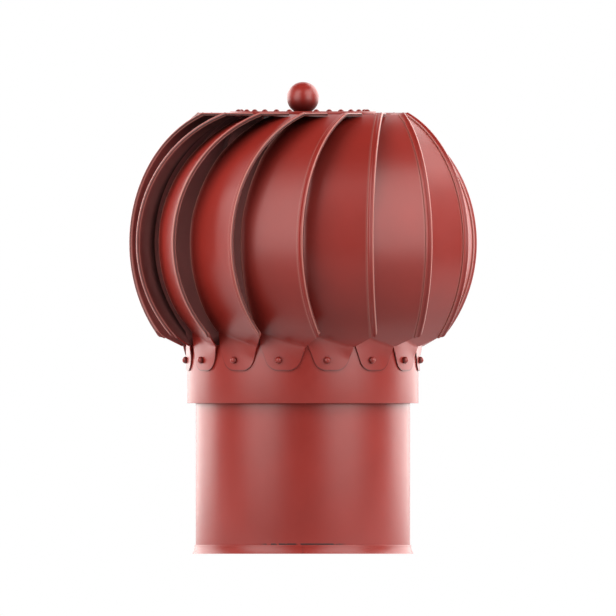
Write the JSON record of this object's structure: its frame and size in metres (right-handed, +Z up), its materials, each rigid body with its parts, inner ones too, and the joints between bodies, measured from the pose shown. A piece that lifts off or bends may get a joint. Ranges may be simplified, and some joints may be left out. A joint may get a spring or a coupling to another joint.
{
  "type": "rotating chimney cowl",
  "caption": "Wind-turned chimney cowl: a globe of overlapping rolled blades on a collar that spins on a ball-bearing shaft over a round flue pipe.",
  "frame": {"origin": "on the flue axis, in the plane of the pipe's foot", "axes": "+Z up along the flue axis towards the knob, -Y to the front of the picture, +X to its right"},
  "size_m": [0.2425, 0.2412, 0.3303],
  "materials": {
    "red_paint": "satin oxide-red powder coat on steel sheet",
    "zinc_plate": "zinc-plated steel",
    "turned_steel": "turned bright steel",
    "bearing_steel": "ground bearing steel",
    "cage_brass": "pressed brass",
    "housing_cast": "turned aluminium"
  },
  "bodies": {
    "base": {"base_pipe": "red_paint", "foot_ring": "red_paint", "spider": "zinc_plate", "bearing_housing": "housing_cast", "housing_screws": "zinc_plate", "housing_nuts": "zinc_plate", "lower_outer_race": "bearing_steel", "upper_outer_race": "bearing_steel", "outer_spacer": "turned_steel", "snap_ring": "turned_steel"},
    "rotor": {"collar_ring": "red_paint", "blade_01": "red_paint", "blade_02": "red_paint", "blade_03": "red_paint", "blade_04": "red_paint", "blade_05": "red_paint", "blade_06": "red_paint", "blade_07": "red_paint", "blade_08": "red_paint", "blade_09": "red_paint", "blade_10": "red_paint", "blade_11": "red_paint", "blade_12": "red_paint", "blade_13": "red_paint", "blade_14": "red_paint", "blade_15": "red_paint", "collar_rivets": "red_paint", "crown_disc": "red_paint", "crown_rivets": "red_paint", "ball_knob": "red_paint", "shaft": "turned_steel", "crown_washer": "zinc_plate", "shaft_washer": "zinc_plate", "shaft_nut": "zinc_plate", "lower_inner_race": "bearing_steel", "upper_inner_race": "bearing_steel", "inner_spacer": "turned_steel"},
    "lower_ball_train": {"lower_balls": "bearing_steel", "lower_cage": "cage_brass"},
    "upper_ball_train": {"upper_balls": "bearing_steel", "upper_cage": "cage_brass"}
  },
  "joints": [
    {"name": "rotor_spin", "type": "hinge", "parent": "base", "child": "rotor", "pos_m": [0, 0, 0.1815], "axis": [0, 0, 1], "continuous": true},
    {"name": "lower_train_spin", "type": "hinge", "parent": "base", "child": "lower_ball_train", "pos_m": [0, 0, 0.1665], "axis": [0, 0, 1], "continuous": true},
    {"name": "upper_train_spin", "type": "hinge", "parent": "base", "child": "upper_ball_train", "pos_m": [0, 0, 0.1965], "axis": [0, 0, 1], "continuous": true}
  ],
  "couplings": [
    {"joint": "lower_train_spin", "follows": "rotor_spin", "ratio": 0.368},
    {"joint": "upper_train_spin", "follows": "rotor_spin", "ratio": 0.368}
  ]
}
